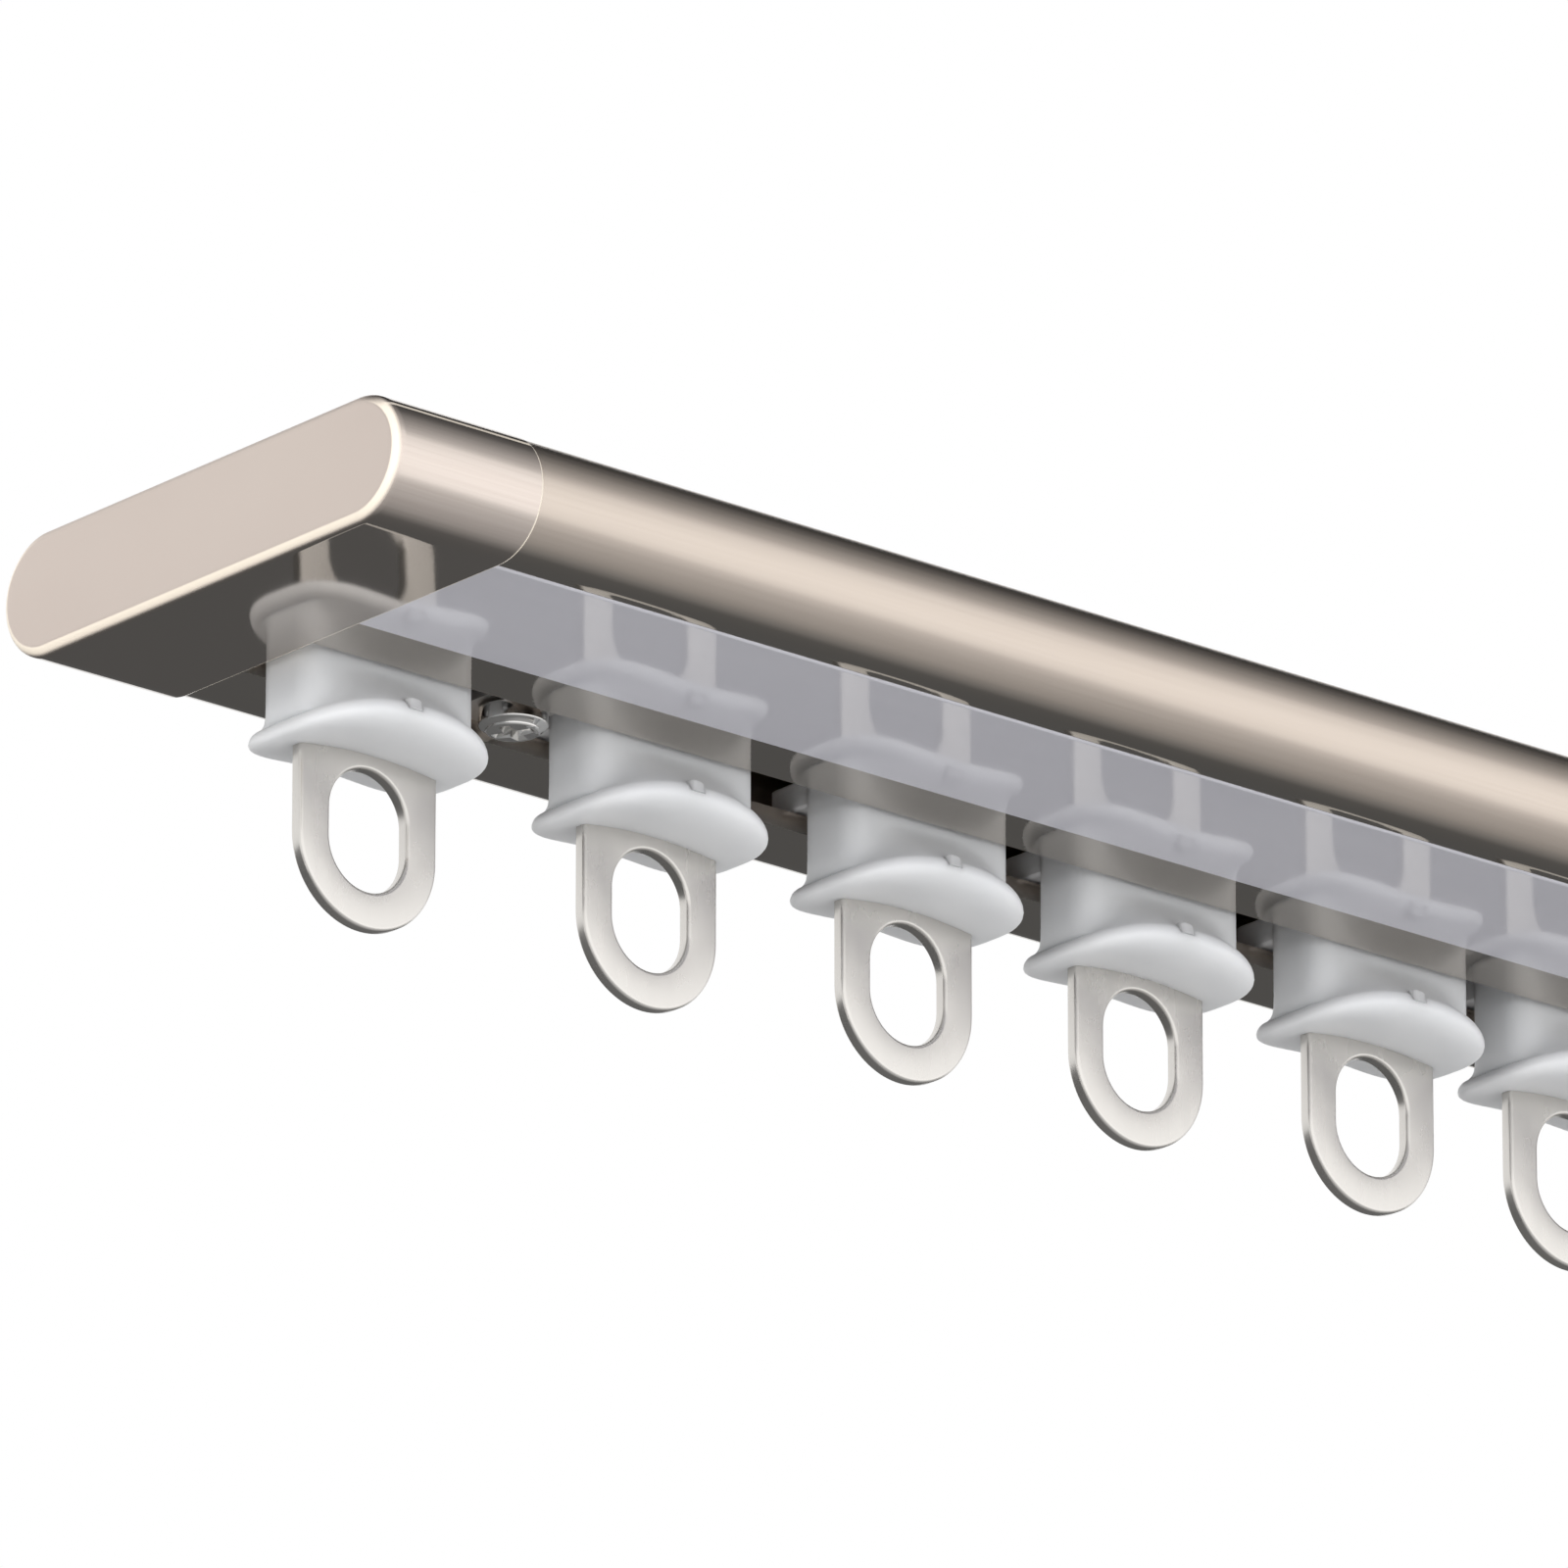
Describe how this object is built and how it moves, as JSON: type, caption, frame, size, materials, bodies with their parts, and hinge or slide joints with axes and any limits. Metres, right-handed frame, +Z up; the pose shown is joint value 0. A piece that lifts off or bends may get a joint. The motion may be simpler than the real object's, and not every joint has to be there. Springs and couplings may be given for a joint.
{
  "type": "curtain track",
  "caption": "Flat oval curtain track for a ceiling, with end caps, a slotted underside, wheeled carriers with eyelet plates, and end stops.",
  "frame": {"origin": "middle of the rail's flat top face, which lies against the ceiling", "axes": "+X along the rail, away from the end with the carriers; +Y towards the back of the rail, where the slot is; +Z up, into the ceiling"},
  "size_m": [0.5, 0.0628, 0.0393],
  "materials": {
    "champagne_aluminium": "satin anodised",
    "cap_enamel": "satin",
    "strip_plastic": "gloss",
    "nylon": "natural",
    "nickel": "polished",
    "steel": "zinc plated",
    "stop_aluminium": "plain"
  },
  "bodies": {
    "track": {"rail": "champagne_aluminium", "underside_strip": "strip_plastic", "end_cap_left": "cap_enamel", "end_cap_right": "cap_enamel", "stop_block_left": "stop_aluminium", "stop_block_right": "stop_aluminium", "stop_screw_left": "steel", "stop_screw_right": "steel"},
    "carrier_1": {"carrier_1": "nylon", "eyelet_1": "nickel", "axle_1": "steel"},
    "wheel_front_1": {"wheel_front_1": "nylon"},
    "wheel_back_1": {"wheel_back_1": "nylon"},
    "carrier_2": {"carrier_2": "nylon", "eyelet_2": "nickel", "axle_2": "steel"},
    "wheel_front_2": {"wheel_front_2": "nylon"},
    "wheel_back_2": {"wheel_back_2": "nylon"},
    "carrier_3": {"carrier_3": "nylon", "eyelet_3": "nickel", "axle_3": "steel"},
    "wheel_front_3": {"wheel_front_3": "nylon"},
    "wheel_back_3": {"wheel_back_3": "nylon"},
    "carrier_4": {"carrier_4": "nylon", "eyelet_4": "nickel", "axle_4": "steel"},
    "wheel_front_4": {"wheel_front_4": "nylon"},
    "wheel_back_4": {"wheel_back_4": "nylon"},
    "carrier_5": {"carrier_5": "nylon", "eyelet_5": "nickel", "axle_5": "steel"},
    "wheel_front_5": {"wheel_front_5": "nylon"},
    "wheel_back_5": {"wheel_back_5": "nylon"},
    "carrier_6": {"carrier_6": "nylon", "eyelet_6": "nickel", "axle_6": "steel"},
    "wheel_front_6": {"wheel_front_6": "nylon"},
    "wheel_back_6": {"wheel_back_6": "nylon"}
  },
  "joints": [
    {"name": "carrier_1_slide", "type": "slide", "parent": "track", "child": "carrier_1", "axis": [1, 0, 0], "range_m": [-0.0009, 0.0032]},
    {"name": "carrier_2_slide", "type": "slide", "parent": "track", "child": "carrier_2", "axis": [1, 0, 0], "range_m": [-0.0024, 0.0475]},
    {"name": "carrier_3_slide", "type": "slide", "parent": "carrier_2", "child": "carrier_3", "axis": [1, 0, 0], "range_m": [-0.0109, 0.0475]},
    {"name": "carrier_4_slide", "type": "slide", "parent": "carrier_3", "child": "carrier_4", "axis": [1, 0, 0], "range_m": [-0.0082, 0.0475]},
    {"name": "carrier_5_slide", "type": "slide", "parent": "carrier_4", "child": "carrier_5", "axis": [1, 0, 0], "range_m": [-0.0088, 0.0475]},
    {"name": "carrier_6_slide", "type": "slide", "parent": "carrier_5", "child": "carrier_6", "axis": [1, 0, 0], "range_m": [-0.0049, 0.0475]},
    {"name": "wheel_front_1_spin", "type": "hinge", "parent": "carrier_1", "child": "wheel_front_1", "pos_m": [-0.2188, 0.0109, -0.00695], "axis": [0, 1, 0], "continuous": true},
    {"name": "wheel_back_1_spin", "type": "hinge", "parent": "carrier_1", "child": "wheel_back_1", "pos_m": [-0.2188, 0.0109, -0.00695], "axis": [0, 1, 0], "continuous": true},
    {"name": "wheel_front_2_spin", "type": "hinge", "parent": "carrier_2", "child": "wheel_front_2", "pos_m": [-0.1816, 0.0109, -0.00695], "axis": [0, 1, 0], "continuous": true},
    {"name": "wheel_back_2_spin", "type": "hinge", "parent": "carrier_2", "child": "wheel_back_2", "pos_m": [-0.1816, 0.0109, -0.00695], "axis": [0, 1, 0], "continuous": true},
    {"name": "wheel_front_3_spin", "type": "hinge", "parent": "carrier_3", "child": "wheel_front_3", "pos_m": [-0.1469, 0.0109, -0.00695], "axis": [0, 1, 0], "continuous": true},
    {"name": "wheel_back_3_spin", "type": "hinge", "parent": "carrier_3", "child": "wheel_back_3", "pos_m": [-0.1469, 0.0109, -0.00695], "axis": [0, 1, 0], "continuous": true},
    {"name": "wheel_front_4_spin", "type": "hinge", "parent": "carrier_4", "child": "wheel_front_4", "pos_m": [-0.1149, 0.0109, -0.00695], "axis": [0, 1, 0], "continuous": true},
    {"name": "wheel_back_4_spin", "type": "hinge", "parent": "carrier_4", "child": "wheel_back_4", "pos_m": [-0.1149, 0.0109, -0.00695], "axis": [0, 1, 0], "continuous": true},
    {"name": "wheel_front_5_spin", "type": "hinge", "parent": "carrier_5", "child": "wheel_front_5", "pos_m": [-0.0823, 0.0109, -0.00695], "axis": [0, 1, 0], "continuous": true},
    {"name": "wheel_back_5_spin", "type": "hinge", "parent": "carrier_5", "child": "wheel_back_5", "pos_m": [-0.0823, 0.0109, -0.00695], "axis": [0, 1, 0], "continuous": true},
    {"name": "wheel_front_6_spin", "type": "hinge", "parent": "carrier_6", "child": "wheel_front_6", "pos_m": [-0.0536, 0.0109, -0.00695], "axis": [0, 1, 0], "continuous": true},
    {"name": "wheel_back_6_spin", "type": "hinge", "parent": "carrier_6", "child": "wheel_back_6", "pos_m": [-0.0536, 0.0109, -0.00695], "axis": [0, 1, 0], "continuous": true}
  ]
}
